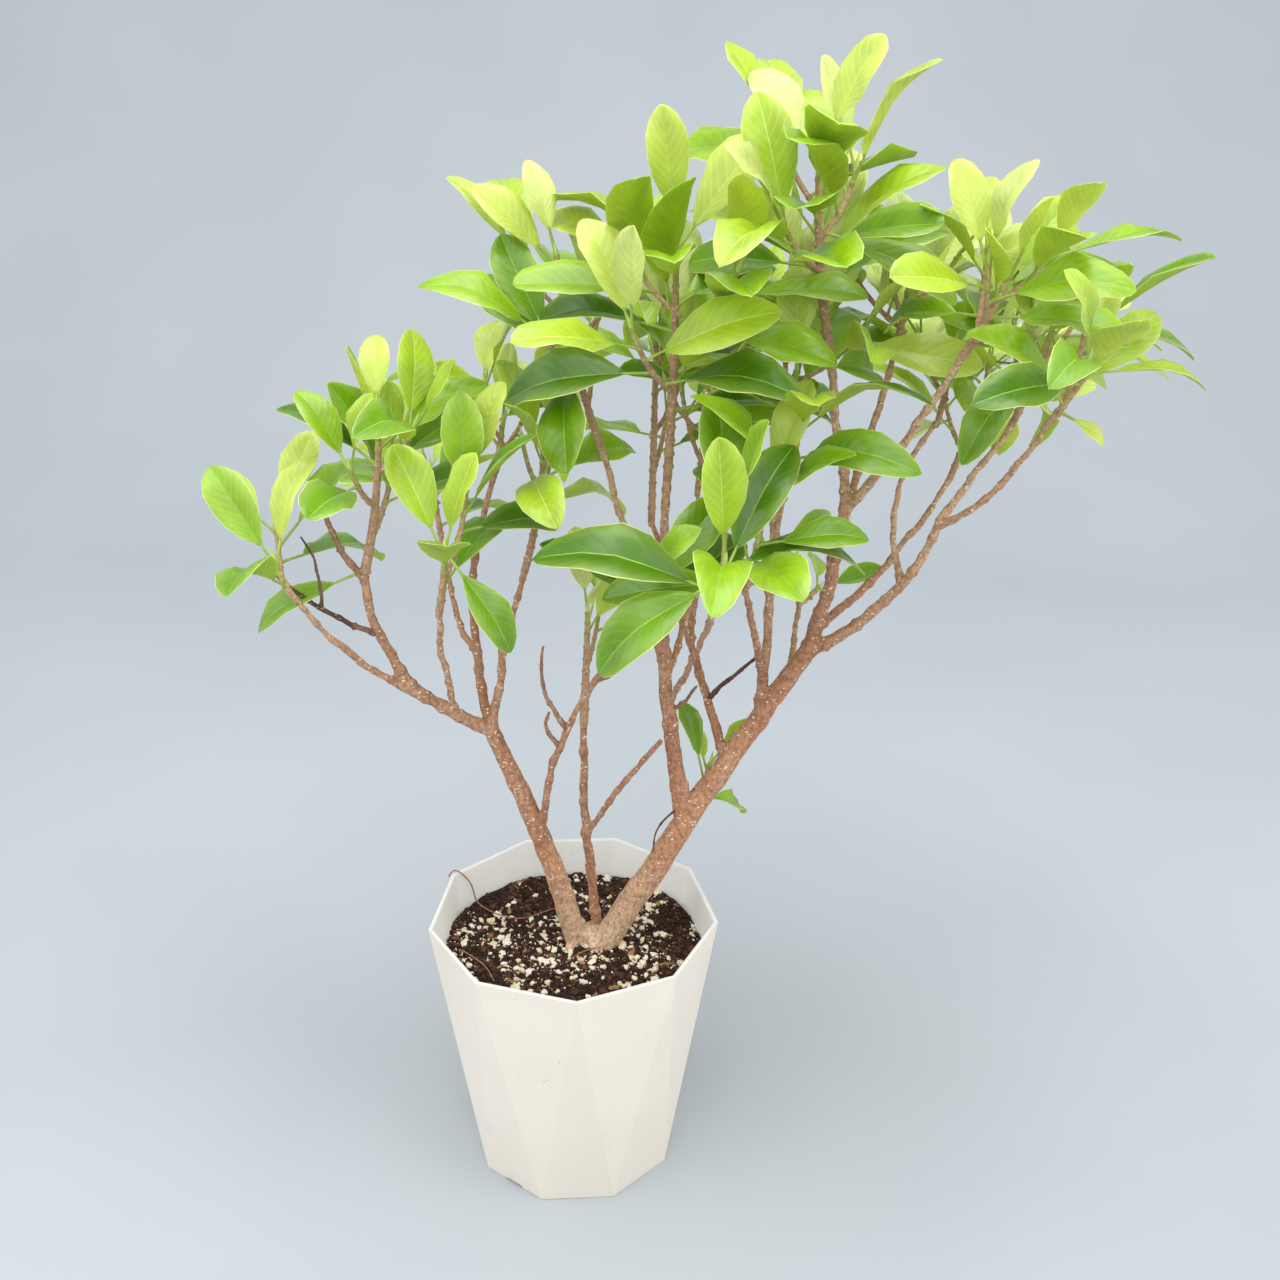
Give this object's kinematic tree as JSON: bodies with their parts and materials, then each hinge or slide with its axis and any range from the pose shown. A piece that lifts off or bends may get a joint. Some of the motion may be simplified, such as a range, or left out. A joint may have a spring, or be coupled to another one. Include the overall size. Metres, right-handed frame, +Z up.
{
  "type": "potted ficus",
  "caption": "Small ficus with bare forking stems and glossy oval leaves, rooted in soil in a tapering faceted plastic pot that stands on its flat foot.",
  "frame": {"origin": "centre of the pot's flat underside", "axes": "+Z up along the pot's axis, +X to the right and -Y towards the side that is seen in the picture"},
  "size_m": [0.547, 0.3775, 0.6762],
  "materials": {
    "pot": "matt ivory plastic",
    "soil": "dark crumbly potting mix with white grains",
    "bark": "smooth red-brown bark with pale dots",
    "foliage": "glossy green leaves on slim twigs"
  },
  "bodies": {
    "root": {"pot": "pot", "soil": "soil", "root_flare": "bark", "left_stem": "bark", "middle_stem": "bark", "right_stem": "bark", "left_bough": "bark", "left_low_bough": "bark", "left_inner_bough": "bark", "left_back_bough": "bark", "left_centre_bough": "bark", "left_side_bough": "bark", "left_rear_bough": "bark", "cut_stub": "bark", "leader": "bark", "crown_left_bough": "bark", "front_bough": "bark", "inner_bough": "bark", "crossing_bough": "bark", "back_bough": "bark", "fork_bough": "bark", "fork_front_bough": "bark", "fork_right_bough": "bark", "back_low_bough": "bark", "rising_bough": "bark", "tall_bough": "bark", "upper_bough": "bark", "right_bough": "bark", "back_right_bough": "bark", "right_low_bough": "bark", "outer_bough": "bark", "outer_high_bough": "bark", "middle_right_bough": "bark", "front_leaves": "foliage", "far_left_leaves": "foliage", "left_high_leaves": "foliage", "left_inner_leaves": "foliage", "fork_front_leaves": "foliage", "side_leaves": "foliage", "centre_top_leaves": "foliage", "top_leaves": "foliage", "right_high_leaves": "foliage", "outer_low_leaves": "foliage", "outer_high_leaves": "foliage", "crown_left_leaves": "foliage", "centre_low_leaves": "foliage", "left_crown_leaves": "foliage", "fork_right_leaves": "foliage", "fork_top_leaves": "foliage", "upper_leaves": "foliage", "inner_leaves": "foliage", "middle_right_leaves": "foliage", "centre_back_leaves": "foliage", "middle_leaves": "foliage", "back_right_leaves": "foliage", "back_low_leaves": "foliage", "back_leaves": "foliage", "left_rear_leaves": "foliage", "low_sprout": "foliage"}
  },
  "joints": []
}
